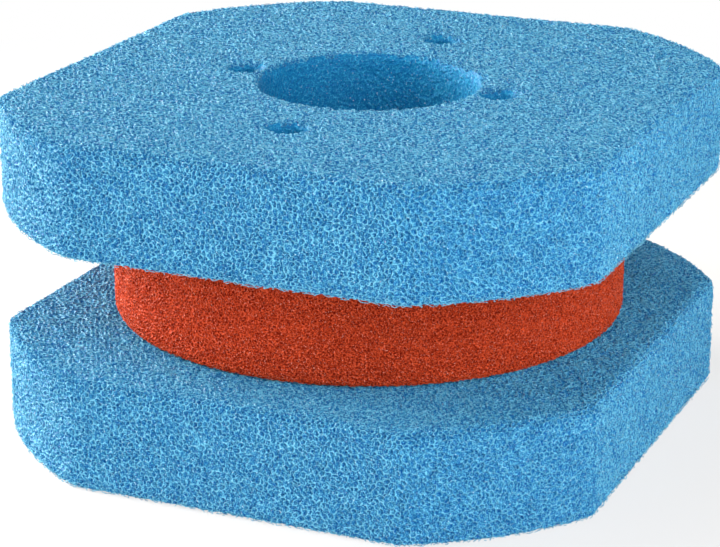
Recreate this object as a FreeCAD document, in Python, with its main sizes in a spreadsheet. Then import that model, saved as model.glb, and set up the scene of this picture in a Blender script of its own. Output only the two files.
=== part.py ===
import FreeCAD, Part

import math
import os
from enum import IntEnum

import Sketcher

# Sponge set of a pond filter: two coarse sponge slabs with a fine, round sponge disc between them.
# The three are loose and lie in a stack. In the filter a centre tube and four clamping rods pass up
# through all of them, and clean by squeezing the stack.
#
# Millimetres, +Z up. The origin is on the axis of the centre tube, at the underside of the stack.
# X runs across the slab's shorter way, from side to side, and Y runs from end to end.

# Driving sizes: alias, value, what it measures.
SIZES = [
    ("round_diameter", 326, "Round tank outline that the slab's corners follow"),
    ("side_flat_depth", 25, "Depth of the flat cut off that round at each side (-X and +X)"),
    ("end_flat_depth", 18, "Depth of the flat cut off that round at each end (-Y and +Y)"),
    ("edge_rounding", 10, "Radius of the slab's eight upright edges"),
    ("slab_thickness", 50, "Thickness of each coarse slab"),
    ("disc_diameter", 230, "Diameter of the fine disc"),
    ("disc_thickness", 52, "Thickness of the fine disc"),
    ("tube_bore", 98, "Diameter of the bore for the centre tube"),
    ("rod_hole", 15, "Diameter of the four holes for the clamping rods"),
    ("side_rod_web", 4.5, "Foam left between the bore and each rod hole on the X axis"),
    ("end_rod_web", 28.5, "Foam left between the bore and each rod hole on the Y axis"),
]

# Distances from the stack's axis, as expressions of those sizes: to the flats and to the rods.
SIDE_REACH = "sizes.round_diameter / 2 - sizes.side_flat_depth"
END_REACH = "sizes.round_diameter / 2 - sizes.end_flat_depth"
SIDE_ROD_REACH = "sizes.tube_bore / 2 + sizes.side_rod_web + sizes.rod_hole / 2"
END_ROD_REACH = "sizes.tube_bore / 2 + sizes.end_rod_web + sizes.rod_hole / 2"


class Axis(IntEnum):
    """How a sketch constraint names the sketch's own axes."""

    X = -1
    Y = -2


class Point(IntEnum):
    """How a sketch constraint names the points of an edge."""

    START = 1
    END = 2
    CENTRE = 3


ORIGIN = (Axis.X, Point.START)


def make_sheet(document):
    """Write the driving sizes into a spreadsheet, one aliased cell each."""
    sheet = document.addObject("Spreadsheet::Sheet", "sizes")
    for row, (alias, value, meaning) in enumerate(SIZES, start=1):
        sheet.set(f"A{row}", meaning)
        sheet.set(f"B{row}", str(value))
        sheet.setAlias(f"B{row}", alias)
    document.recompute()
    return sheet


def new_sketch(body, name):
    """Add a sketch on the body's own XY plane."""
    sketch = body.newObject("Sketcher::SketchObject", name)
    plane = next(feature for feature in body.Origin.OriginFeatures if feature.Role == "XY_Plane")
    sketch.AttachmentSupport = [(plane, "")]
    sketch.MapMode = "FlatFace"
    return sketch


def bind(sketch, name, expression, kind, *arguments):
    """Add a measured constraint to the sketch and tie it to the spreadsheet."""
    index = sketch.addConstraint(Sketcher.Constraint(kind, *arguments))
    sketch.renameConstraint(index, name)
    sketch.setExpression(f"Constraints.{name}", expression)


def add_circle(sketch, expression, diameter, centre=(0, 0)):
    """Draw a circle near its place and tie its diameter to the spreadsheet."""
    circle = Part.Circle(FreeCAD.Vector(*centre), FreeCAD.Vector(0, 0, 1), diameter / 2)
    index = sketch.addGeometry(circle)
    bind(sketch, "diameter", expression, "Diameter", index, diameter)
    return index


def centred_circle(body, name, expression, diameter):
    """Sketch one circle on the sponge's axis."""
    sketch = new_sketch(body, name)
    circle = add_circle(sketch, expression, diameter)
    sketch.addConstraint(Sketcher.Constraint("Coincident", circle, Point.CENTRE, *ORIGIN))
    return sketch


def slab_outline(body, sheet):
    """Sketch the slab: the tank's round with a flat on each side, its arcs left as the corners."""
    radius = sheet.round_diameter / 2
    side = radius - sheet.side_flat_depth
    end = radius - sheet.end_flat_depth
    end_half = math.sqrt(radius**2 - end**2)
    side_half = math.sqrt(radius**2 - side**2)
    corner = math.atan2(side_half, side)
    corner_end = math.atan2(end, end_half)

    sketch = new_sketch(body, "outline")
    # The flats, anticlockwise from the one at +X.
    flats = [
        ((side, -side_half), (side, side_half)),
        ((end_half, end), (-end_half, end)),
        ((-side, side_half), (-side, -side_half)),
        ((-end_half, -end), (end_half, -end)),
    ]
    lines = [
        sketch.addGeometry(Part.LineSegment(FreeCAD.Vector(*start), FreeCAD.Vector(*stop)))
        for start, stop in flats
    ]
    # The corner that follows each flat, as an arc of the round.
    spans = [
        (corner, corner_end),
        (math.pi - corner_end, math.pi - corner),
        (math.pi + corner, math.pi + corner_end),
        (-corner_end, -corner),
    ]
    whole_round = Part.Circle(FreeCAD.Vector(), FreeCAD.Vector(0, 0, 1), radius)
    arcs = [sketch.addGeometry(Part.ArcOfCircle(whole_round, *span)) for span in spans]

    for turn, (line, arc) in enumerate(zip(lines, arcs)):
        next_line = lines[(turn + 1) % len(lines)]
        sketch.addConstraint(Sketcher.Constraint("Coincident", line, Point.END, arc, Point.START))
        sketch.addConstraint(Sketcher.Constraint("Coincident", arc, Point.END, next_line, Point.START))
        sketch.addConstraint(Sketcher.Constraint("Coincident", arc, Point.CENTRE, *ORIGIN))
        sketch.addConstraint(Sketcher.Constraint("Horizontal" if turn % 2 else "Vertical", line))
    for arc in arcs[1:]:
        sketch.addConstraint(Sketcher.Constraint("Equal", arcs[0], arc))
    bind(sketch, "round", "sizes.round_diameter / 2", "Radius", arcs[0], radius)

    right, back, left, front = lines
    bind(sketch, "right_reach", SIDE_REACH, "DistanceX", *ORIGIN, right, Point.START, side)
    bind(sketch, "left_reach", SIDE_REACH, "DistanceX", left, Point.START, *ORIGIN, side)
    bind(sketch, "back_reach", END_REACH, "DistanceY", *ORIGIN, back, Point.START, end)
    bind(sketch, "front_reach", END_REACH, "DistanceY", front, Point.START, *ORIGIN, end)
    return sketch


def disc_outline(body, sheet):
    """Sketch the fine disc's rim."""
    return centred_circle(body, "outline", "sizes.disc_diameter", sheet.disc_diameter)


def pad(body, sketch, thickness):
    """Raise the outline to the sponge's thickness."""
    feature = body.newObject("PartDesign::Pad", "sponge")
    feature.Profile = sketch
    feature.setExpression("Length", thickness)
    sketch.Visibility = False
    return feature


def round_upright_edges(document, body, base):
    """Round the eight upright edges where the flats meet the corner arcs."""
    document.recompute()
    upright = [
        f"Edge{index}"
        for index, edge in enumerate(base.Shape.Edges, start=1)
        if edge.BoundBox.ZLength > edge.BoundBox.DiagonalLength / 2
    ]
    feature = body.newObject("PartDesign::Fillet", "rounded_edges")
    feature.Base = (base, upright)
    feature.setExpression("Radius", "sizes.edge_rounding")
    return feature


def cut_through(body, sketch, name):
    """Cut a sketched hole up through the whole sponge."""
    feature = body.newObject("PartDesign::Pocket", name)
    feature.Profile = sketch
    feature.Type = "ThroughAll"
    feature.Reversed = True
    sketch.Visibility = False
    return feature


def cut_tube_bore(body, sheet):
    """Cut the bore that the centre tube passes through."""
    sketch = centred_circle(body, "bore_circle", "sizes.tube_bore", sheet.tube_bore)
    cut_through(body, sketch, "tube_bore")


def cut_rod_holes(body, sheet):
    """Cut the rod holes: one on each axis, mirrored to the far side of the bore."""
    bore = sheet.tube_bore / 2
    hole = sheet.rod_hole / 2
    side = bore + sheet.side_rod_web + hole
    end = bore + sheet.end_rod_web + hole
    pairs = [
        ("side_rod", (side, 0), Axis.X, "DistanceX", SIDE_ROD_REACH, side, "V_Axis"),
        ("end_rod", (0, end), Axis.Y, "DistanceY", END_ROD_REACH, end, "H_Axis"),
    ]
    for name, centre, axis, direction, expression, reach, mirror_axis in pairs:
        sketch = new_sketch(body, f"{name}_circle")
        circle = add_circle(sketch, "sizes.rod_hole", sheet.rod_hole, centre)
        sketch.addConstraint(Sketcher.Constraint("PointOnObject", circle, Point.CENTRE, axis))
        bind(sketch, "reach", expression, direction, *ORIGIN, circle, Point.CENTRE, reach)
        pocket = cut_through(body, sketch, f"{name}_hole")
        mirrored = body.newObject("PartDesign::Mirrored", f"{name}_hole_opposite")
        mirrored.Originals = [pocket]
        mirrored.MirrorPlane = (sketch, [mirror_axis])
        body.Tip = mirrored


def make_sponge(document, sheet, label, outline, thickness, underside, rounded):
    """Build one sponge: outline, thickness, bore and rod holes, laid at its height in the stack."""
    body = document.addObject("PartDesign::Body", label)
    body.Label = label
    sponge = pad(body, outline(body, sheet), thickness)
    if rounded:
        round_upright_edges(document, body, sponge)
    cut_tube_bore(body, sheet)
    cut_rod_holes(body, sheet)
    body.setExpression("Placement.Base.z", underside)
    return body


def make_stack(document, sheet):
    """Lay the three sponges on one another, from the bottom up."""
    slab = "sizes.slab_thickness"
    disc = "sizes.disc_thickness"
    return [
        make_sponge(document, sheet, "lower_coarse_sponge", slab_outline, slab, "0", True),
        make_sponge(document, sheet, "fine_sponge_disc", disc_outline, disc, slab, False),
        make_sponge(document, sheet, "upper_coarse_sponge", slab_outline, slab, f"{slab} + {disc}", True),
    ]


def check(document, bodies):
    """Stop if any feature failed or any sponge isn't one sound solid."""
    for item in document.Objects:
        if "Invalid" in item.State or "Error" in item.State:
            raise RuntimeError(f"{item.Label} failed: {item.State}")
    for body in bodies:
        shape = body.Shape
        if shape.isNull() or not shape.isValid() or len(shape.Solids) != 1:
            raise RuntimeError(f"{body.Label} is not one valid solid")


def main():
    document = FreeCAD.newDocument("sponge_filter")
    sheet = make_sheet(document)
    bodies = make_stack(document, sheet)
    document.recompute()
    check(document, bodies)
    os.makedirs("parts", exist_ok=True)
    for body in bodies:
        body.Shape.exportStep(f"parts/{body.Label}.step")
        box = body.Shape.BoundBox
        print(
            f"{body.Label}: {box.XLength:.1f} x {box.YLength:.1f} x {box.ZLength:.1f} mm,"
            f" {body.Shape.Volume / 1e6:.3f} litres, z {box.ZMin:.1f} to {box.ZMax:.1f}"
        )


main()
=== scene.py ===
"""Looks of a pond filter's sponge set: open-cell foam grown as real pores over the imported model."""

import math

import bmesh
import bpy
import numpy as np
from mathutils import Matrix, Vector
from mathutils.geometry import delaunay_2d_cdt
from mathutils.kdtree import KDTree


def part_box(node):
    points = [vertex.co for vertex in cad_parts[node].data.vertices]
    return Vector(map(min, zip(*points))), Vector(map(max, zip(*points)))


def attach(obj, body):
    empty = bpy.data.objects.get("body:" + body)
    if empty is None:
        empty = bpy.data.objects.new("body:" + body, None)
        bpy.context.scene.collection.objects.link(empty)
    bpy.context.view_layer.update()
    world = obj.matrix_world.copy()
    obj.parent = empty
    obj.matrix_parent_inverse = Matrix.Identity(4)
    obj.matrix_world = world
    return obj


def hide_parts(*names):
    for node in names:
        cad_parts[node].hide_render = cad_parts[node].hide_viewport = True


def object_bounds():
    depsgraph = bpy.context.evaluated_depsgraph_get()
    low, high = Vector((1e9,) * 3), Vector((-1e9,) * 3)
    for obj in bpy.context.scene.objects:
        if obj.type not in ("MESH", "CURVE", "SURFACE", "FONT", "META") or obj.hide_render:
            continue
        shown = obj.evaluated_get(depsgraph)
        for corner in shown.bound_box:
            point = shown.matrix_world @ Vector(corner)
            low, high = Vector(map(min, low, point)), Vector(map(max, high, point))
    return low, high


bl_info = {
    "name": "Filter sponge looks",
    "version": (1, 0, 0),
    "blender": (4, 5, 0),
    "location": "3D View > Sidebar > Sponges",
    "description": "Grows open-cell foam over a pond filter's sponges and lights them",
    "category": "Object",
}

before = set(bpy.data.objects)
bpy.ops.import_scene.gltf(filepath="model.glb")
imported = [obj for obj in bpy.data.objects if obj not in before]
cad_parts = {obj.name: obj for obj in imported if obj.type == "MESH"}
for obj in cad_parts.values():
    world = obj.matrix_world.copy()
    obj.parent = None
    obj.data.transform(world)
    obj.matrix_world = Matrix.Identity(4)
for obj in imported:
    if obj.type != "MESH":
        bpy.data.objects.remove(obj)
CAD_BOX = [list(corner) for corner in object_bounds()]

MM = 0.001
COARSE_SPONGES = {
    "lower_coarse_sponge": "lower_sponge",
    "upper_coarse_sponge": "upper_sponge",
}
FINE_SPONGES = {"fine_sponge_disc": "disc"}
COARSE_SEED, FINE_SEED = 10, 20
SEEDS_EACH = 5  # seeds that one sponge uses

# Spread of the pores over a sponge's faces.
BOTTOM, TOP, FIRST_WALL = 0, 1, 2  # patches of a skin: its two flat faces, then a wall for each outline
HEX_ROW = math.sqrt(3) / 2  # row spacing of a triangular grid, as a share of its pitch
SHAKE = 0.42  # how far each pore strays from an even grid, as a share of the pitch
CROWDED = 0.55  # pores nearer to each other than this share of the pitch are thinned out
EDGE_ROOM = 0.6  # how near a flat face's pores come to its outlines, as a share of the pitch
RAGGED_EDGE = 0.06  # how far a cut edge wanders, as a share of the pitch
FEWEST_EDGE_PORES = 12  # round any outline
AT_ONCE = 2000  # points whose gaps are measured together, which limits the memory used

# Tolerances: lengths in metres, tilts as the upright part of a face's normal.
SAME_POINT = 1e-6
SAME_HEIGHT = 1e-5
WELD_GAP = 5e-6
TRIANGLE_SLACK = 1e-9
ON_EDGE = 0.01  # as a share of the pitch
LEVEL = 0.99
NEARLY_LEVEL, STEEP = 0.9, 0.5
WHOLE_HULL = 0  # the triangulation fills the points' whole hull

# Pores and struts.
STRUTS_SUNK = 0.2  # how far the lowest struts stand below the cut, as a share of the pitch
STRUTS_PROUD = 0.05  # how far the highest stand above it
SHALLOWEST = 0.5  # depth of the shallowest pores, as a share of the deepest
PUNCHED_DEPTH = 0.15  # share of the pore depth left in the punched bore and rod holes
BAR_SIDES = 3  # sides of a loose strut, which is too thin to show more

# Sockets that share their name with others of the same node, by number.
FLOAT_MIN, FLOAT_MAX = 2, 3  # limits of a random value
FLOAT_OUT, BOOLEAN_OUT = 1, 3  # results of a random value
COLOUR_A, COLOUR_B, COLOUR_OUT = 6, 7, 2  # colours of a mix

# Light and shade of the foam.
INNER_FOOT, INNER_TOP = 0.24, 0.03  # where a strut further in starts and is palest, as shares of its pitch
INNER_SHAKE = 0.85  # how unevenly those struts lie
CREST_FOOT, CREST_TOP = 0.35, 0.04  # where a strut's crest starts and is palest, as shares of the pit
DULL = 0.3  # share of the struts that catch no light
CHIP_LAYERS = 1.0  # layers of finer chips over the first
CHIP_STEP = 2.0  # how much finer each layer is than the one before
CHIP_WEIGHT = 1.0  # and how much it counts against it
PUNCHED_GRAIN = 0.45  # share of the contrast left on punched walls
WALL_LEVEL = 0.5  # brightness at which the colour of the struts further in shows
FOAM_IOR = 1.5  # polyurethane

# Bake map.
BAKE_MAP = "OFBake"
MAP_GAP = 4 * MM  # left between the parts of the map

# Stage, in metres.
LAMP_DISTANCE = 1.1  # from the object
FILL_LIGHT = 0.04  # strength of the even light from all round
FLOOR_REACH = 3.0  # from its middle to each side
FLOOR_GLOW = 0.7  # share of plain white in the floor that the camera sees; the rest keeps the shadow
SHADOW_FULL, SHADOW_GONE = 0.25, 0.75  # distances from the middle, between which the floor turns white
FLOOR_PAINT = (0.9, 0.9, 0.9, 1)
WHITE = (1, 1, 1, 1)
SENSOR_WIDTH = 36  # millimetres


# ---------------------------------------------------------------- colours and nodes


def srgb(code):
    """Linear RGBA of an sRGB hex code such as #3b82f6."""
    channels = [int(code[place : place + 2], 16) / 255 for place in (1, 3, 5)]
    linear = [c / 12.92 if c <= 0.04045 else ((c + 0.055) / 1.055) ** 2.4 for c in channels]
    return (*linear, 1.0)


def add(tree, kind, settings=None, inputs=None):
    """Add a node, with its settings, and with each input set to a value or linked to a socket."""
    node = tree.nodes.new(kind)
    for name, value in (settings or {}).items():
        setattr(node, name, value)
    for name, value in (inputs or {}).items():
        socket = node.inputs[name]
        if isinstance(value, bpy.types.NodeSocket):
            tree.links.new(value, socket)
        else:
            socket.default_value = value
    return node


# ---------------------------------------------------------------- the sponge's cut faces


def top_outlines(node, height):
    """Outlines of the node's flat top at that height: the outer edge first, then the holes."""
    shell = bmesh.new()
    shell.from_mesh(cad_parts[node].data)
    bmesh.ops.remove_doubles(shell, verts=shell.verts, dist=SAME_POINT)
    flat = [
        face
        for face in shell.faces
        if face.normal.z > LEVEL and abs(face.calc_center_median().z - height) < SAME_HEIGHT
    ]
    known = set(flat)
    following = {}
    for face in flat:
        for corner in face.loops:
            if sum(neighbour in known for neighbour in corner.edge.link_faces) == 1:
                following[corner.vert.index] = corner.link_loop_next.vert.index
    places = {vert.index: Vector(vert.co.xy) for vert in shell.verts}
    shell.free()
    loops = []
    while following:
        first, step = following.popitem()
        loop = [places[first]]
        while step != first:
            loop.append(places[step])
            step = following.pop(step)
        loops.append(loop)
    return sorted(loops, key=perimeter, reverse=True)


def perimeter(loop):
    """Length of a closed outline."""
    return sum((b - a).length for a, b in zip(loop, loop[1:] + loop[:1]))


class Ring:
    """A closed outline that can be walked by distance."""

    def __init__(self, loop):
        self.corners = np.array([tuple(point) for point in loop + loop[:1]])
        steps = np.linalg.norm(np.diff(self.corners, axis=0), axis=1)
        self.marks = np.concatenate([[0], np.cumsum(steps)])
        self.length = self.marks[-1]

    def turn(self, places):
        """The angle at which each place lies, seen from the outline's middle."""
        away = places[:, :2] - self.corners[:-1].mean(axis=0)
        return np.arctan2(away[:, 1], away[:, 0])

    def at(self, distance):
        """The points at those distances along the outline."""
        distance = np.mod(distance, self.length)
        return np.stack([np.interp(distance, self.marks, self.corners[:, axis]) for axis in (0, 1)], axis=-1)


def scatter(low, high, pitch, source):
    """Points strewn over a rectangle about a pitch apart: a triangular grid well shaken, then thinned."""
    rows = np.arange(low[1], high[1], pitch * HEX_ROW)
    points = []
    for index, y in enumerate(rows):
        x = np.arange(low[0] + (index % 2) * pitch / 2, high[0], pitch)
        points.append(np.stack([x, np.full_like(x, y)], axis=-1))
    grid = np.concatenate(points)
    grid += source.uniform(-SHAKE, SHAKE, grid.shape) * pitch
    tree = KDTree(len(grid))
    for index, point in enumerate(grid):
        tree.insert((*point, 0), index)
    tree.balance()
    keep = np.ones(len(grid), bool)
    for index, point in enumerate(grid):
        if keep[index]:
            for _, other, _ in tree.find_range((*point, 0), pitch * CROWDED):
                if other > index:
                    keep[other] = False
    return grid[keep]


def inside(points, outline):
    """Which points lie inside an outline, by counting the crossings to their right."""
    a, b = outline, np.roll(outline, -1, axis=0)
    x, y = points[:, :1], points[:, 1:]
    spans = (a[:, 1] > y) != (b[:, 1] > y)
    rise = np.where(b[:, 1] == a[:, 1], 1, b[:, 1] - a[:, 1])
    crossing = a[:, 0] + (y - a[:, 1]) * (b[:, 0] - a[:, 0]) / rise
    return (spans & (x < crossing)).sum(axis=1) % 2 == 1


def clear_of(points, edge_points, distance):
    """Which points keep that distance from a set of points on an edge."""
    keep = np.ones(len(points), bool)
    for start in range(0, len(points), AT_ONCE):
        block = points[start : start + AT_ONCE]
        gaps = np.linalg.norm(block[:, None] - edge_points[None], axis=2)
        keep[start : start + AT_ONCE] = gaps.min(axis=1) > distance
    return keep


def triangulate(outlines, points):
    """Triangles between points inside the first outline and outside the others."""
    edges, start = [], 0
    for outline in outlines:
        stop = start + len(outline)
        edges += zip(range(start, stop), [*range(start + 1, stop), start])
        start = stop
    corners = [Vector(place) for place in np.concatenate([*outlines, points])]
    result = delaunay_2d_cdt(corners, edges, [], WHOLE_HULL, TRIANGLE_SLACK, False)
    places = np.array([tuple(place) for place in result[0]])
    faces = np.array(result[2])
    middles = places[faces].mean(axis=1)
    keep = inside(middles, outlines[0])
    for hole in outlines[1:]:
        keep &= ~inside(middles, hole)
    return places, faces[keep]


class Shell:
    """Collects the triangulated patches of one sponge, welded later."""

    def __init__(self):
        self.places, self.faces, self.patches = [], [], []
        self.count = 0

    def take(self, places, faces, patch):
        """Add one patch, its faces counted on from the points before it."""
        self.faces.append(faces + self.count)
        self.places.append(places)
        self.patches.append(np.full(len(places), patch))
        self.count += len(places)


def cut_sponge(node, rings, look, seed):
    """A closed skin of near-even triangles over the node, one corner to each pore."""
    low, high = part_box(node)
    pitch = look.pitch
    source = np.random.default_rng(seed)
    counts = [max(FEWEST_EDGE_PORES, round(ring.length / pitch)) for ring in rings]
    ragged = pitch * RAGGED_EDGE
    shell = Shell()
    rims = {}
    for patch, z in ((BOTTOM, low.z), (TOP, high.z)):
        edges = [ring.at(np.arange(n) * ring.length / n) for ring, n in zip(rings, counts)]
        edges = rims[z] = [edge + source.uniform(-ragged, ragged, edge.shape) for edge in edges]
        shell.take(*cut_face(edges, z, pitch, source), patch)
    for index, ring in enumerate(rings):
        wall = cut_wall(ring, rims[low.z][index], rims[high.z][index], (low.z, high.z), pitch, source)
        shell.take(*wall, FIRST_WALL + index)
    return weld(node, shell, look.rim_radius)


def cut_face(edges, z, pitch, source):
    """One flat face: the edge points of its outline and holes, with a random grid between them."""
    grid = scatter(edges[0].min(axis=0), edges[0].max(axis=0), pitch, source)
    grid = grid[inside(grid, edges[0])]
    for hole in edges[1:]:
        grid = grid[~inside(grid, hole)]
    grid = grid[clear_of(grid, np.concatenate(edges), pitch * EDGE_ROOM)]
    flat, faces = triangulate(edges, grid)
    return np.column_stack([flat, np.full(len(flat), z)]), faces


def cut_wall(ring, lower_edge, upper_edge, span, pitch, source):
    """The upright wall round a ring, unrolled to be triangulated and rolled up again."""
    n = len(lower_edge)
    step = ring.length / n
    height = span[1] - span[0]
    rows = max(2, round(height / (pitch * HEX_ROW)))
    margin = pitch / 2
    grid = scatter((0, 0), (ring.length, height), pitch, source)
    grid = grid[((grid > margin) & (grid < np.array([ring.length, height]) - margin)).all(axis=1)]
    along = np.arange(n + 1) * step
    up = np.arange(1, rows) * height / rows
    border = np.concatenate([
        np.column_stack([along, np.zeros(n + 1)]),
        np.column_stack([np.full(rows - 1, ring.length), up]),
        np.column_stack([along[::-1], np.full(n + 1, height)]),
        np.column_stack([np.zeros(rows - 1), up[::-1]]),
    ])
    flat, faces = triangulate([border], grid)
    rolled = ring.at(flat[:, 0])
    for edge, level in ((lower_edge, 0), (upper_edge, height)):
        on_edge = np.abs(flat[:, 1] - level) < pitch * ON_EDGE
        rolled[on_edge] = edge[np.round(flat[on_edge, 0] / step).astype(int) % n]
    return np.column_stack([rolled, span[0] + flat[:, 1]]), faces


def weld(node, shell, rim_radius):
    """One closed mesh of the patches, its faces turned outwards, with each point's patch kept."""
    mesh = bpy.data.meshes.new(f"{node}_skin")
    mesh.from_pydata(np.concatenate(shell.places).tolist(), [], np.concatenate(shell.faces).tolist())
    patch = mesh.attributes.new("patch", "INT", "POINT")
    patch.data.foreach_set("value", np.concatenate(shell.patches).astype(np.int32))
    surface = bmesh.new()
    surface.from_mesh(mesh)
    bmesh.ops.remove_doubles(surface, verts=surface.verts, dist=WELD_GAP)
    bmesh.ops.recalc_face_normals(surface, faces=surface.faces)
    surface.normal_update()
    round_rims(surface, rim_radius)
    open_edges = sum(1 for edge in surface.edges if len(edge.link_faces) != 2)
    surface.to_mesh(mesh)
    surface.free()
    if open_edges:
        raise RuntimeError(f"{node}: {open_edges} open edges in its skin")
    return mesh


def round_rims(surface, radius):
    """Round the sharp rims between flat faces and walls, as springy foam is, and mark the fraying ones.

    Face and wall each take half of the quarter round. Only the lower rims fray.
    """
    frayed = surface.verts.layers.float.new("frayed")
    heights = [vert.co.z for vert in surface.verts]
    low, high = min(heights), max(heights)
    rim = [vert for vert in surface.verts if on_rim(vert)]
    nearest = KDTree(len(rim))
    for index, vert in enumerate(rim):
        nearest.insert(vert.co, index)
    nearest.balance()
    shifts = []
    for vert in surface.verts:
        up = 1 if vert.co.z > (low + high) / 2 else -1
        drop = min(vert.co.z - low, high - vert.co.z)
        flat = drop < SAME_POINT
        place, _, gap = nearest.find(vert.co)
        away = gap if flat else drop
        if away > radius:
            continue
        nearness = 1 - away / radius
        if up < 0:
            vert[frayed] = nearness
        inward = -vert.normal.xy.to_3d()
        if flat and gap > SAME_POINT:
            inward = vert.co - place
        tilt = math.pi / 4 * nearness
        along = radius - away - radius * math.sin(tilt)
        across = radius - radius * math.cos(tilt)
        sideways, sunk = (along, across) if flat else (across, along)
        shifts.append((vert, inward.normalized() * sideways - Vector((0, 0, up * sunk))))
    for vert, shift in shifts:
        vert.co += shift


def on_rim(vert):
    """Whether a flat face and a wall meet at this corner of the skin."""
    tilts = [abs(face.normal.z) for face in vert.link_faces]
    return max(tilts) > NEARLY_LEVEL and min(tilts) < STEEP


# ---------------------------------------------------------------- pores


def pore_tree():
    """Geometry nodes that turn each corner of a skin into an open pore in a net of uneven struts."""
    tree = bpy.data.node_groups.new("foam_pores", "GeometryNodeTree")
    tree.is_modifier = True
    given = tree_inputs(tree)
    patch = add(
        tree, "GeometryNodeInputNamedAttribute", {"data_type": "INT"}, {"Name": "patch"}
    ).outputs["Attribute"]
    cells = add(tree, "GeometryNodeDualMesh", None, {"Mesh": given["Geometry"]}).outputs[0]
    net = strut_net(tree, given, cells)
    pitted = pitted_net(tree, given, net, patch)
    bars = loose_struts(tree, given, net, cells, patch)
    joined = add(tree, "GeometryNodeJoinGeometry", None, {"Geometry": pitted})
    tree.links.new(bars, joined.inputs["Geometry"])
    whole = add(tree, "GeometryNodeRealizeInstances", None, {"Geometry": joined.outputs[0]})
    foam = add(
        tree, "GeometryNodeSetMaterial", None, {"Geometry": whole.outputs[0], "Material": given["Foam"]}
    )
    add(tree, "NodeGroupOutput", None, {"Geometry": foam.outputs[0]})
    return tree


def tree_inputs(tree):
    """Give the tree its output and its named inputs, and return the sockets of the inputs."""
    for kind, names in (
        ("NodeSocketGeometry", ("Geometry",)),
        ("NodeSocketFloat", ("Lowest strut", "Highest strut", "Shallow pore", "Deep pore")),
        ("NodeSocketFloat", ("Loose share", "Loose lift", "Loose radius", "Fray")),
        ("NodeSocketInt", ("Strut seed", "Pore seed", "Catch seed", "Loose seed")),
        ("NodeSocketMaterial", ("Foam",)),
    ):
        for name in names:
            tree.interface.new_socket(name, in_out="INPUT", socket_type=kind)
    tree.interface.new_socket("Geometry", in_out="OUTPUT", socket_type="NodeSocketGeometry")
    return add(tree, "NodeGroupInput").outputs


def strut_net(tree, given, cells):
    """The net of struts round the pores, unevenly high, each with its own luck in catching the light."""
    height = add(
        tree,
        "FunctionNodeRandomValue",
        {"data_type": "FLOAT"},
        {FLOAT_MIN: given["Lowest strut"], FLOAT_MAX: given["Highest strut"], "Seed": given["Strut seed"]},
    ).outputs[FLOAT_OUT]
    outwards = add(tree, "GeometryNodeInputNormal").outputs["Normal"]
    lift = add(tree, "ShaderNodeVectorMath", {"operation": "SCALE"}, {0: outwards, "Scale": height})
    net = add(tree, "GeometryNodeSetPosition", None, {"Geometry": cells, "Offset": lift.outputs[0]})
    # painted light: each strut gets a random share of light that it is painted as catching
    luck = add(tree, "FunctionNodeRandomValue", {"data_type": "FLOAT"}, {"Seed": given["Catch seed"]})
    return add(
        tree,
        "GeometryNodeStoreNamedAttribute",
        {"data_type": "FLOAT", "domain": "POINT"},
        {"Geometry": net.outputs[0], "Name": "catch", "Value": luck.outputs[FLOAT_OUT]},
    ).outputs[0]


def pitted_net(tree, given, net, patch):
    """The net with a pointed pit behind each window, shallower where the foam is punched."""
    depth = add(
        tree,
        "FunctionNodeRandomValue",
        {"data_type": "FLOAT"},
        {FLOAT_MIN: given["Shallow pore"], FLOAT_MAX: given["Deep pore"], "Seed": given["Pore seed"]},
    ).outputs[FLOAT_OUT]
    inward_share = add(
        tree,
        "ShaderNodeMapRange",
        None,
        {
            "Value": patch,
            "From Min": FIRST_WALL,
            "From Max": FIRST_WALL + 1,
            "To Min": -1.0,
            "To Max": -PUNCHED_DEPTH,
        },
    ).outputs[0]
    inwards = add(tree, "ShaderNodeMath", {"operation": "MULTIPLY"}, {0: depth, 1: inward_share})
    pits = add(
        tree,
        "GeometryNodeExtrudeMesh",
        {"mode": "FACES"},
        {"Mesh": net, "Offset Scale": inwards.outputs[0], "Individual": True},
    ).outputs
    tips = add(
        tree,
        "GeometryNodeScaleElements",
        {"domain": "FACE"},
        {"Geometry": pits["Mesh"], "Selection": pits["Top"], "Scale": 0.0},
    )
    marked = add(
        tree,
        "GeometryNodeStoreNamedAttribute",
        {"data_type": "FLOAT", "domain": "POINT"},
        {"Geometry": tips.outputs[0], "Selection": pits["Top"], "Name": "pore", "Value": 1.0},
    )
    return add(
        tree, "GeometryNodeMergeByDistance", None, {"Geometry": marked.outputs[0], "Distance": SAME_POINT}
    ).outputs[0]


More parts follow.
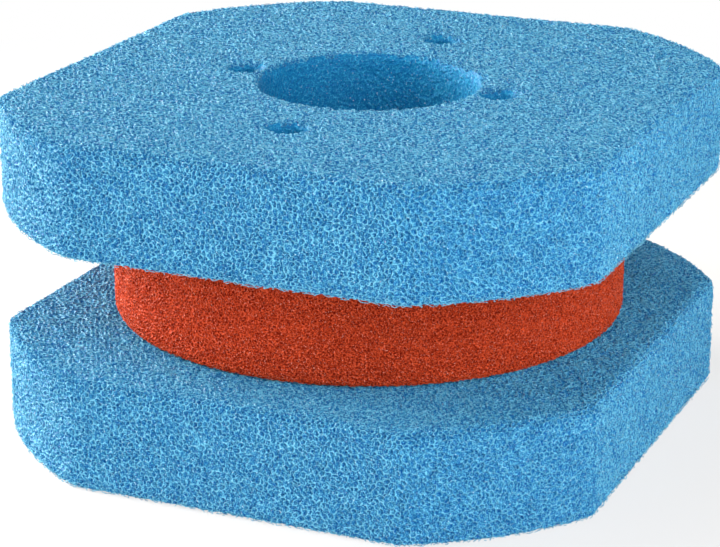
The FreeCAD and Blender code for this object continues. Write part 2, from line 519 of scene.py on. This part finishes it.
def loose_struts(tree, given, net, cells, patch):
    """Bars along some of the net's struts, which stand up from the sawn faces, and further where frayed."""
    frayed = add(tree, "GeometryNodeInputNamedAttribute", {"data_type": "FLOAT"}, {"Name": "frayed"})
    fray = add(
        tree,
        "ShaderNodeMath",
        {"operation": "MULTIPLY"},
        {0: frayed.outputs["Attribute"], 1: given["Fray"]},
    ).outputs[0]
    more = add(tree, "ShaderNodeMath", {"operation": "MINIMUM"}, {0: fray, 1: 1.0})
    share = add(
        tree,
        "ShaderNodeMath",
        {"operation": "MULTIPLY_ADD"},
        {0: more.outputs[0], 1: given["Loose share"], 2: given["Loose share"]},
    )
    loose = add(
        tree,
        "FunctionNodeRandomValue",
        {"data_type": "BOOLEAN"},
        {"Probability": share.outputs[0], "Seed": given["Loose seed"]},
    )
    sawn = add(
        tree,
        "FunctionNodeCompare",
        {"data_type": "FLOAT", "operation": "LESS_EQUAL"},
        {0: patch, 1: FIRST_WALL},
    )
    chosen = add(
        tree,
        "FunctionNodeBooleanMath",
        {"operation": "AND"},
        {0: loose.outputs[BOOLEAN_OUT], 1: sawn.outputs[0]},
    )
    reach = add(
        tree,
        "FunctionNodeRandomValue",
        {"data_type": "FLOAT"},
        {FLOAT_MAX: given["Loose lift"], "Seed": given["Loose seed"]},
    ).outputs[FLOAT_OUT]
    height = add(tree, "ShaderNodeMath", {"operation": "MULTIPLY_ADD"}, {0: fray, 1: reach, 2: reach})
    outwards = add(tree, "GeometryNodeInputNormal").outputs["Normal"]
    lift = add(
        tree, "ShaderNodeVectorMath", {"operation": "SCALE"}, {0: outwards, "Scale": height.outputs[0]}
    )
    raised = add(tree, "GeometryNodeSetPosition", None, {"Geometry": net, "Offset": lift.outputs[0]})
    lines = add(
        tree, "GeometryNodeMeshToCurve", None, {"Mesh": raised.outputs[0], "Selection": chosen.outputs[0]}
    )
    profile = add(
        tree,
        "GeometryNodeCurvePrimitiveCircle",
        None,
        {"Resolution": BAR_SIDES, "Radius": given["Loose radius"]},
    )
    bars = add(
        tree,
        "GeometryNodeCurveToMesh",
        None,
        {"Curve": lines.outputs[0], "Profile Curve": profile.outputs[0], "Fill Caps": True},
    )
    # painted highlight: the loose struts are painted as catching the full light
    lit = add(
        tree,
        "GeometryNodeStoreNamedAttribute",
        {"data_type": "FLOAT", "domain": "POINT"},
        {"Geometry": bars.outputs[0], "Name": "catch", "Value": 1.0},
    )
    # each bar takes the patch of the cell under it
    under = add(tree, "GeometryNodeSampleNearest", {"domain": "FACE"}, {"Geometry": cells})
    taken = add(
        tree,
        "GeometryNodeSampleIndex",
        {"data_type": "INT", "domain": "FACE"},
        {"Geometry": cells, "Value": patch, "Index": under.outputs[0]},
    )
    return add(
        tree,
        "GeometryNodeStoreNamedAttribute",
        {"data_type": "INT", "domain": "FACE"},
        {"Geometry": lit.outputs[0], "Name": "patch", "Value": taken.outputs[0]},
    ).outputs[0]


def grow_pores(name, mesh, tree, inputs):
    """Run the pore tree over a skin and keep its result as a plain mesh."""
    piece = bpy.data.objects.new(name, mesh)
    bpy.context.collection.objects.link(piece)
    pores = piece.modifiers.new("pores", "NODES")
    pores.node_group = tree
    for item in tree.interface.items_tree:
        if item.in_out == "INPUT" and item.name in inputs:
            pores[item.identifier] = inputs[item.name]
    graph = bpy.context.evaluated_depsgraph_get()
    grown = bpy.data.meshes.new_from_object(
        piece.evaluated_get(graph), preserve_all_data_layers=True, depsgraph=graph
    )
    piece.modifiers.remove(pores)
    piece.data = grown
    return piece


# ---------------------------------------------------------------- bake map


def read(items, name, kind, width=1):
    """A property of every item of a mesh, one row to an item."""
    values = np.empty(len(items) * width, kind)
    items.foreach_get(name, values)
    return values.reshape(-1, width).squeeze()


def lay_out(mesh, rings, low, high):
    """Give a sponge its own bake map: its two flat faces side by side, then its walls unrolled in rows.

    The outer wall takes two rows, one for each half, and the walls of the holes share the last.
    """
    owner = np.repeat(np.arange(len(mesh.polygons)), read(mesh.polygons, "loop_total", np.int32))
    patch = read(mesh.attributes["patch"].data, "value", np.int32)[owner]
    middle = read(mesh.polygons, "center", np.float32, 3)[owner]
    corner = read(mesh.vertices, "co", np.float32, 3)[read(mesh.loops, "vertex_index", np.int32)]
    wide, deep, row = (high - low) + Vector((MAP_GAP, MAP_GAP, MAP_GAP))

    spots = np.zeros((len(owner), 2))
    for index, start in ((BOTTOM, 0), (TOP, wide)):
        chosen = patch == index
        spots[chosen] = corner[chosen, :2] - (low.x - start, low.y)
    start = 0
    for index, ring in enumerate(rings):
        chosen = patch == FIRST_WALL + index
        reach = ring.length / math.tau
        turn = ring.turn(middle[chosen])
        stray = (ring.turn(corner[chosen]) - turn + math.pi) % math.tau - math.pi
        along = (turn + stray + math.pi) * reach
        up = corner[chosen, 2] - low.z + deep
        if index == 0:
            second_half = turn > 0
            along -= np.where(second_half, math.pi * reach, 0)
            up += np.where(second_half, row, 0)
        else:
            along += start
            up += 2 * row
            start += ring.length + MAP_GAP
        spots[chosen] = np.column_stack([along, up])
    side = max(2 * wide, deep + 3 * row, start)
    places = (spots / side).astype(np.float32).ravel()
    mesh.uv_layers.new(name=BAKE_MAP).data.foreach_set("uv", places)


# ---------------------------------------------------------------- materials


def foam_material(name, look):
    """Open-cell polyurethane foam, sawn from a block, with the skins of its cells burst.

    To the eye it is a net of pale struts with a soft gloss and round windows in which the struts further in
    show.
    Its colour paints light and shade over the real pits: the crests are painted pale as lit, and the windows
    and the struts further in are painted darker as shade deeper in the foam.
    """
    material = bpy.data.materials.new(name)
    material.use_nodes = True
    tree = material.node_tree
    tree.nodes.clear()
    place = add(tree, "ShaderNodeTexCoord").outputs["Object"]
    patch = add(tree, "ShaderNodeAttribute", {"attribute_name": "patch"}).outputs["Fac"]
    # the punched walls of the bore and rod holes: painted shade deepens their colour, and their grain is
    # evened out
    punched = add(
        tree, "ShaderNodeMath", {"operation": "GREATER_THAN"}, {0: patch, 1: FIRST_WALL}
    ).outputs[0]
    crest = strut_crests(tree)
    lit = lit_struts(tree, place, crest, look)
    shade, luck = strut_chips(tree, place, look.chip_size)
    level = uneven_level(tree, lit, shade, punched, look.unevenness)
    dye_and_painted_light = foam_colour(tree, level, punched, look)
    shader = add(
        tree,
        "ShaderNodeBsdfPrincipled",
        None,
        {
            "Base Color": with_painted_glints(tree, dye_and_painted_light, luck, crest, look),
            "Roughness": look.roughness,
            "IOR": FOAM_IOR,
            "Specular IOR Level": look.gloss,
            "Sheen Weight": look.sheen,
            "Sheen Roughness": look.sheen_roughness,
        },
    )
    add(tree, "ShaderNodeOutputMaterial", None, {"Surface": shader.outputs[0]})
    return material


def strut_crests(tree):
    """A thin crest along each strut: 1 at its top, and 0 down in the pores."""
    pore = add(tree, "ShaderNodeAttribute", {"attribute_name": "pore"}).outputs["Fac"]
    return add(
        tree,
        "ShaderNodeMapRange",
        {"interpolation_type": "SMOOTHSTEP"},
        {"Value": pore, "From Min": CREST_FOOT, "From Max": CREST_TOP},
    ).outputs[0]


def lit_struts(tree, place, crest, look):
    """Brightness of the struts: the outermost by how each catches the light, and those further in.

    Those further in are drawn closer together than the pores, because several layers of them show at once.
    """
    catch = add(tree, "ShaderNodeAttribute", {"attribute_name": "catch"}).outputs["Fac"]
    caught = add(
        tree, "ShaderNodeMapRange", None, {"Value": catch, "From Min": DULL, "To Max": look.outer_share}
    )
    second = add(
        tree,
        "ShaderNodeTexVoronoi",
        {"voronoi_dimensions": "3D", "feature": "DISTANCE_TO_EDGE"},
        {"Vector": place, "Scale": 1 / look.inner_pitch, "Randomness": INNER_SHAKE},
    ).outputs["Distance"]
    inner = add(
        tree,
        "ShaderNodeMapRange",
        None,
        {"Value": second, "From Min": INNER_FOOT, "From Max": INNER_TOP, "To Max": look.inner_share},
    )
    return add(
        tree,
        "ShaderNodeMath",
        {"operation": "MULTIPLY_ADD"},
        {0: crest, 1: caught.outputs[0], 2: inner.outputs[0]},
    ).outputs[0]


def strut_chips(tree, place, size):
    """Two random numbers for each chip of strut, because each takes the light its own way.

    A chip is drawn up to twice as long as a strut is thick, because a finer one doesn't show.
    """
    chips = add(
        tree,
        "ShaderNodeTexVoronoi",
        {"voronoi_dimensions": "3D", "feature": "F1", "normalize": True},
        {
            "Vector": place,
            "Scale": 1 / size,
            "Detail": CHIP_LAYERS,
            "Lacunarity": CHIP_STEP,
            "Roughness": CHIP_WEIGHT,
        },
    )
    chance = add(tree, "ShaderNodeSeparateColor", None, {"Color": chips.outputs["Color"]})
    return chance.outputs[0], chance.outputs[1]


def uneven_level(tree, lit, shade, punched, unevenness):
    """The struts' brightness with each chip's own added, evened out where the foam is punched."""
    grain = add(
        tree, "ShaderNodeMapRange", None, {"Value": shade, "To Min": -unevenness, "To Max": unevenness}
    )
    level = add(tree, "ShaderNodeMath", {"operation": "ADD"}, {0: lit, 1: grain.outputs[0]})
    kept = add(
        tree, "ShaderNodeMapRange", None, {"Value": punched, "To Min": 1.0, "To Max": PUNCHED_GRAIN}
    )
    contrast = add(
        tree, "ShaderNodeMath", {"operation": "SUBTRACT"}, {0: level.outputs[0], 1: WALL_LEVEL}
    )
    return add(
        tree,
        "ShaderNodeMath",
        {"operation": "MULTIPLY_ADD"},
        {0: contrast.outputs[0], 1: kept.outputs[0], 2: WALL_LEVEL},
    ).outputs[0]


def foam_colour(tree, level, punched, look):
    """The foam's colour at each brightness, with painted shade on the punched walls of the bore and rod
    holes, where it is multiplied by a deeper tint.
    """
    # painted light and shade: low levels give the dark windows and high levels the pale crests, over the
    # real shade of the pits
    foam = add(tree, "ShaderNodeValToRGB", None, {"Fac": level})
    stops = foam.color_ramp.elements
    stops.new(WALL_LEVEL)
    for stop, colour in zip(stops, (look.deep_colour, look.wall_colour, look.strut_colour)):
        stop.color = srgb(colour)
    return add(
        tree,
        "ShaderNodeMix",
        {"data_type": "RGBA", "blend_type": "MULTIPLY"},
        {"Factor": punched, COLOUR_A: foam.outputs["Color"], COLOUR_B: srgb(look.bore_shade_tint)},
    ).outputs[COLOUR_OUT]


def with_painted_glints(tree, colour, luck, crest, look):
    """That colour with painted glints: a few crests painted nearly white as highlights."""
    rare = add(
        tree,
        "ShaderNodeMapRange",
        None,
        {"Value": luck, "From Min": 1 - look.glints, "From Max": 1 - look.glints / 2},
    )
    flash = add(tree, "ShaderNodeMath", {"operation": "MULTIPLY"}, {0: rare.outputs[0], 1: crest})
    return add(
        tree,
        "ShaderNodeMix",
        {"data_type": "RGBA"},
        {"Factor": flash.outputs[0], COLOUR_A: colour, COLOUR_B: srgb(look.glint_colour)},
    ).outputs[COLOUR_OUT]


# ---------------------------------------------------------------- settings


class Foam:
    """What the two foams have alike."""

    rim_radius: bpy.props.FloatProperty(
        name="Rim radius", description="Rounding of the sponge's sharp rims", default=3.5 * MM, unit="LENGTH"
    )
    inner_share: bpy.props.FloatProperty(
        name="Inner share", description="Brightness of the struts further in", default=0.6, subtype="FACTOR"
    )
    roughness: bpy.props.FloatProperty(
        name="Roughness", description="Roughness of the struts", default=0.5, subtype="FACTOR"
    )
    sheen_roughness: bpy.props.FloatProperty(
        name="Sheen roughness", description="Roughness of the sheen", default=0.3, subtype="FACTOR"
    )


class CoarseFoam(Foam, bpy.types.PropertyGroup):
    """Size and colour of the blue coarse foam, whose pores are drawn at their real size."""

    pitch: bpy.props.FloatProperty(
        name="Pore pitch", description="Distance from one pore to the next", default=2.2 * MM, unit="LENGTH"
    )
    pore_depth: bpy.props.FloatProperty(
        name="Pore depth", description="Depth of the deepest pores", default=1.5 * MM, unit="LENGTH"
    )
    inner_pitch: bpy.props.FloatProperty(
        name="Inner pitch", description="Pitch of the struts further in", default=0.9 * MM, unit="LENGTH"
    )
    loose_share: bpy.props.FloatProperty(
        name="Loose share", description="Share of the struts that stand proud", default=0.3, subtype="FACTOR"
    )
    loose_lift: bpy.props.FloatProperty(
        name="Loose lift", description="How far the loosest strut stands", default=0.5 * MM, unit="LENGTH"
    )
    loose_radius: bpy.props.FloatProperty(
        name="Loose radius", description="Radius of a loose strut", default=0.16 * MM, unit="LENGTH"
    )
    fray: bpy.props.FloatProperty(
        name="Fray", description="Extra lift of loose struts at lower rims", default=1.2, subtype="FACTOR"
    )
    outer_share: bpy.props.FloatProperty(
        name="Outer share", description="Brightness of the outermost struts", default=0.9, subtype="FACTOR"
    )
    chip_size: bpy.props.FloatProperty(
        name="Chip size", description="Length of strut lit as one", default=0.45 * MM, unit="LENGTH"
    )
    unevenness: bpy.props.FloatProperty(
        name="Unevenness", description="How far chips differ in brightness", default=0.9, subtype="FACTOR"
    )
    # painted light and shade: the struts are painted pale as lit, and the struts further in and the windows
    # darker as shade in the foam
    strut_colour: bpy.props.StringProperty(
        name="Struts", description="Colour of the struts, sRGB hex", default="#72c1df"
    )
    wall_colour: bpy.props.StringProperty(
        name="Inner struts", description="Colour of the struts further in, sRGB hex", default="#2685b1"
    )
    deep_colour: bpy.props.StringProperty(
        name="Windows", description="Colour of the dark windows, sRGB hex", default="#0a5498"
    )
    # painted shade: the walls of the bore and rod holes are multiplied by this deeper tint
    bore_shade_tint: bpy.props.StringProperty(
        name="Bore tint", description="What the bore's colour is multiplied by, sRGB hex", default="#9cf0ff"
    )
    # painted highlights: a few crests are painted in this near-white colour as glints
    glint_colour: bpy.props.StringProperty(
        name="Glints", description="Colour of the crests that flash, sRGB hex", default="#f0faff"
    )
    glints: bpy.props.FloatProperty(
        name="Share of glints", description="Share of the chips that flash", default=0.1, subtype="FACTOR"
    )
    gloss: bpy.props.FloatProperty(
        name="Gloss", description="Specular level of the struts", default=0.1, subtype="FACTOR"
    )
    sheen: bpy.props.FloatProperty(
        name="Sheen", description="Weight of the sheen of fine strut ends", default=0.08, subtype="FACTOR"
    )


class FineFoam(Foam, bpy.types.PropertyGroup):
    """Size and colour of the red fine foam."""

    # the real pitch is about 1.3 mm, and it is drawn a little coarser so that the pores show
    pitch: bpy.props.FloatProperty(
        name="Pore pitch", description="Distance from one pore to the next", default=1.6 * MM, unit="LENGTH"
    )
    pore_depth: bpy.props.FloatProperty(
        name="Pore depth", description="Depth of the deepest pores", default=0.8 * MM, unit="LENGTH"
    )
    inner_pitch: bpy.props.FloatProperty(
        name="Inner pitch", description="Pitch of the struts further in", default=0.8 * MM, unit="LENGTH"
    )
    loose_share: bpy.props.FloatProperty(
        name="Loose share", description="Share of struts that stand proud", default=0.25, subtype="FACTOR"
    )
    loose_lift: bpy.props.FloatProperty(
        name="Loose lift", description="How far the loosest strut stands", default=0.3 * MM, unit="LENGTH"
    )
    loose_radius: bpy.props.FloatProperty(
        name="Loose radius", description="Radius of a loose strut", default=0.12 * MM, unit="LENGTH"
    )
    fray: bpy.props.FloatProperty(
        name="Fray", description="Extra lift of loose struts at lower rims", default=0.0, subtype="FACTOR"
    )
    outer_share: bpy.props.FloatProperty(
        name="Outer share", description="Brightness of the outermost struts", default=0.8, subtype="FACTOR"
    )
    chip_size: bpy.props.FloatProperty(
        name="Chip size", description="Length of strut lit as one", default=0.4 * MM, unit="LENGTH"
    )
    unevenness: bpy.props.FloatProperty(
        name="Unevenness", description="How far chips differ in brightness", default=1.4, subtype="FACTOR"
    )
    # painted light and shade: the struts are painted pale as lit, and the struts further in and the windows
    # darker as shade in the foam
    strut_colour: bpy.props.StringProperty(
        name="Struts", description="Colour of the struts, sRGB hex", default="#dc5832"
    )
    wall_colour: bpy.props.StringProperty(
        name="Inner struts", description="Colour of the struts further in, sRGB hex", default="#a62e12"
    )
    deep_colour: bpy.props.StringProperty(
        name="Windows", description="Colour of the dark windows, sRGB hex", default="#6a1002"
    )
    # painted shade: the walls of the bore and rod holes are multiplied by this deeper tint
    bore_shade_tint: bpy.props.StringProperty(
        name="Bore tint", description="What the bore's colour is multiplied by, sRGB hex", default="#ffd8d0"
    )
    # painted highlights: a few crests are painted in this pale colour as glints
    glint_colour: bpy.props.StringProperty(
        name="Glints", description="Colour of the crests that flash, sRGB hex", default="#ffc8b8"
    )
    glints: bpy.props.FloatProperty(
        name="Share of glints", description="Share of the chips that flash", default=0.18, subtype="FACTOR"
    )
    gloss: bpy.props.FloatProperty(
        name="Gloss", description="Specular level of the struts", default=0.04, subtype="FACTOR"
    )
    sheen: bpy.props.FloatProperty(
        name="Sheen", description="Weight of the sheen of fine strut ends", default=0.04, subtype="FACTOR"
    )


class Stage(bpy.types.PropertyGroup):
    """Where the camera stands and what it looks at."""

    azimuth: bpy.props.FloatProperty(
        name="Azimuth",
        description="Camera's turn from the front",
        default=math.radians(23.47),
        subtype="ANGLE",
    )
    elevation: bpy.props.FloatProperty(
        name="Elevation",
        description="Camera's angle above the floor",
        default=math.radians(18.83),
        subtype="ANGLE",
    )
    distance: bpy.props.FloatProperty(
        name="Distance", description="Camera to the point it looks at", default=1.1367, unit="LENGTH"
    )
    lens: bpy.props.FloatProperty(
        name="Lens", description="Focal length in millimetres", default=125.0, unit="CAMERA"
    )
    aim_height: bpy.props.FloatProperty(
        name="Aim height", description="Height of the point looked at", default=61.2 * MM, unit="LENGTH"
    )
    aim_side: bpy.props.FloatProperty(
        name="Aim side", description="How far right of the axis it is", default=-4.1 * MM, unit="LENGTH"
    )


# ---------------------------------------------------------------- making the sponges and the stage


def make_sponges(sponges, look, slot, seed):
    """Grow foam over each node, riding on its body."""
    tree = pore_tree()
    foam = foam_material(f"open_cell_{slot}", look)
    for node, body in sponges.items():
        low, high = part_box(node)
        rings = [Ring(loop) for loop in top_outlines(node, high.z)]
        skin = cut_sponge(node, rings, look, seed)
        settings = {
            "Lowest strut": -STRUTS_SUNK * look.pitch,
            "Highest strut": STRUTS_PROUD * look.pitch,
            "Shallow pore": SHALLOWEST * look.pore_depth,
            "Deep pore": look.pore_depth,
            "Loose share": look.loose_share,
            "Loose lift": look.loose_lift,
            "Loose radius": look.loose_radius,
            "Fray": look.fray,
            "Strut seed": seed + 1,
            "Pore seed": seed + 2,
            "Catch seed": seed + 3,
            "Loose seed": seed + 4,
            "Foam": foam,
        }
        piece = grow_pores(f"{node}_foam", skin, tree, settings)
        lay_out(piece.data, rings, low, high)
        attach(piece, body)
        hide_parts(node)
        seed += SEEDS_EACH


def seen_directly(tree):
    """1 where the camera sees the surface, or a reflection or a clear surface shows it, and otherwise 0."""
    path = add(tree, "ShaderNodeLightPath").outputs
    seen = path["Is Camera Ray"]
    for ray in ("Is Glossy Ray", "Is Transmission Ray"):
        seen = add(tree, "ShaderNodeMath", {"operation": "MAXIMUM"}, {0: seen, 1: path[ray]}).outputs[0]
    return seen


def make_world(scene):
    """A white surrounding that lights the object only faintly."""
    world = bpy.data.worlds.new("studio")
    scene.world = world
    world.use_nodes = True
    tree = world.node_tree
    tree.nodes.clear()
    seen = seen_directly(tree)
    strength = add(tree, "ShaderNodeMapRange", None, {"Value": seen, "To Min": FILL_LIGHT, "To Max": 1.0})
    light = add(tree, "ShaderNodeBackground", None, {"Color": WHITE, "Strength": strength.outputs[0]})
    add(tree, "ShaderNodeOutputWorld", None, {"Surface": light.outputs[0]})


def make_floor():
    """A white studio floor, which keeps the object's soft shadow near it."""
    mesh = bpy.data.meshes.new("studio_floor")
    reach = FLOOR_REACH
    corners = [(-reach, -reach, 0), (reach, -reach, 0), (reach, reach, 0), (-reach, reach, 0)]
    mesh.from_pydata(corners, [], [(0, 1, 2, 3)])
    mesh.materials.append(floor_material())
    floor = bpy.data.objects.new("studio_floor", mesh)
    bpy.context.collection.objects.link(floor)


def floor_material():
    """White paint, which the camera sees as plain white but for the shadow near the object."""
    material = bpy.data.materials.new("white_floor")
    material.use_nodes = True
    tree = material.node_tree
    tree.nodes.clear()
    place = add(tree, "ShaderNodeTexCoord").outputs["Object"]
    away = add(tree, "ShaderNodeVectorMath", {"operation": "LENGTH"}, {0: place}).outputs["Value"]
    white_share = add(
        tree,
        "ShaderNodeMapRange",
        {"interpolation_type": "SMOOTHSTEP"},
        {
            "Value": away,
            "From Min": SHADOW_FULL,
            "From Max": SHADOW_GONE,
            "To Min": FLOOR_GLOW,
            "To Max": 1.0,
        },
    ).outputs[0]
    seen = seen_directly(tree)
    glow = add(tree, "ShaderNodeMath", {"operation": "MULTIPLY"}, {0: seen, 1: white_share})
    paint = add(tree, "ShaderNodeBsdfDiffuse", None, {"Color": FLOOR_PAINT})
    white = add(tree, "ShaderNodeEmission", None, {"Color": WHITE, "Strength": 1.0})
    mixed = add(
        tree, "ShaderNodeMixShader", None, {0: glow.outputs[0], 1: paint.outputs[0], 2: white.outputs[0]}
    )
    add(tree, "ShaderNodeOutputMaterial", None, {"Surface": mixed.outputs[0]})
    return material


def direction(turn, tilt):
    """Unit vector at that turn round the object from its front, and that tilt above the floor."""
    return Vector((math.sin(turn) * math.cos(tilt), -math.cos(turn) * math.cos(tilt), math.sin(tilt)))


def aim(item, target, away, distance):
    """Put a lamp or the camera at that distance from a target, in the direction away, facing it."""
    item.location = target + away * distance
    item.rotation_mode = "QUATERNION"
    item.rotation_quaternion = (-away).to_track_quat("-Z", "Y")
    bpy.context.collection.objects.link(item)


def make_lamps():
    """Softboxes round the object, each turned to its middle."""
    middle = Vector((0, 0, CAD_BOX[1][2] / 2))
    for name, azimuth, elevation, size, watts, colour in (
        ("left_softbox", -90, 5, 1.4, 92.0, "#fff0e2"),
        ("right_softbox", 52, 12, 1.4, 22.0, "#ffffff"),
        ("high_left_softbox", -65, 55, 1.0, 3.0, "#ffffff"),
        ("high_right_softbox", 72, 38, 1.0, 0.5, "#ffffff"),
        ("top_softbox", 0, 50, 1.0, 0.6, "#ffffff"),
    ):
        lamp = bpy.data.lights.new(name, "AREA")
        lamp.size = size
        lamp.energy = watts
        lamp.color = srgb(colour)[:3]
        away = direction(math.radians(azimuth), math.radians(elevation))
        aim(bpy.data.objects.new(name, lamp), middle, away, LAMP_DISTANCE)


def make_camera(scene, stage):
    """The camera, aimed at a point near the stack's axis."""
    camera = bpy.data.objects.new("camera", bpy.data.cameras.new("camera"))
    camera.data.lens = stage.lens
    camera.data.sensor_width = SENSOR_WIDTH
    right = Vector((math.cos(stage.azimuth), math.sin(stage.azimuth), 0))
    target = Vector((0, 0, stage.aim_height)) + right * stage.aim_side
    aim(camera, target, direction(stage.azimuth, stage.elevation), stage.distance)
    scene.camera = camera


# ---------------------------------------------------------------- operators


class SPONGE_OT_stage(bpy.types.Operator):
    """Set the floor, the lamps and the camera"""

    bl_idname = "sponge.stage"
    bl_label = "Stage"

    def execute(self, context):
        make_floor()
        make_world(context.scene)
        make_lamps()
        make_camera(context.scene, context.scene.stage)
        context.scene.view_settings.view_transform = "Standard"
        return {"FINISHED"}


class SPONGE_OT_coarse(bpy.types.Operator):
    """Grow coarse foam over the upper and lower sponges"""

    bl_idname = "sponge.coarse"
    bl_label = "Coarse sponges"

    def execute(self, context):
        make_sponges(COARSE_SPONGES, context.scene.coarse_look, "coarse_foam", COARSE_SEED)
        return {"FINISHED"}


class SPONGE_OT_fine(bpy.types.Operator):
    """Grow fine foam over the middle disc"""

    bl_idname = "sponge.fine"
    bl_label = "Fine disc"

    def execute(self, context):
        make_sponges(FINE_SPONGES, context.scene.fine_look, "fine_foam", FINE_SEED)
        return {"FINISHED"}


OPERATORS = (SPONGE_OT_stage, SPONGE_OT_coarse, SPONGE_OT_fine)


class SPONGE_PT_panel(bpy.types.Panel):
    """Lists the sponges and the stage"""

    bl_label = "Sponges"
    bl_idname = "SPONGE_PT_panel"
    bl_space_type = "VIEW_3D"
    bl_region_type = "UI"
    bl_category = "Sponges"

    def draw(self, context):
        for operator in OPERATORS:
            self.layout.operator(operator.bl_idname)


GROUPS = {"coarse_look": CoarseFoam, "fine_look": FineFoam, "stage": Stage}


def register():
    for group in (*GROUPS.values(), *OPERATORS, SPONGE_PT_panel):
        bpy.utils.register_class(group)
    for name, group in GROUPS.items():
        setattr(bpy.types.Scene, name, bpy.props.PointerProperty(type=group))


def unregister():
    for name in GROUPS:
        delattr(bpy.types.Scene, name)
    for group in (SPONGE_PT_panel, *OPERATORS, *GROUPS.values()):
        bpy.utils.unregister_class(group)


def main():
    register()
    for operator in OPERATORS:
        family, name = operator.bl_idname.split(".")
        getattr(getattr(bpy.ops, family), name)()


if __name__ == "__main__":
    main()
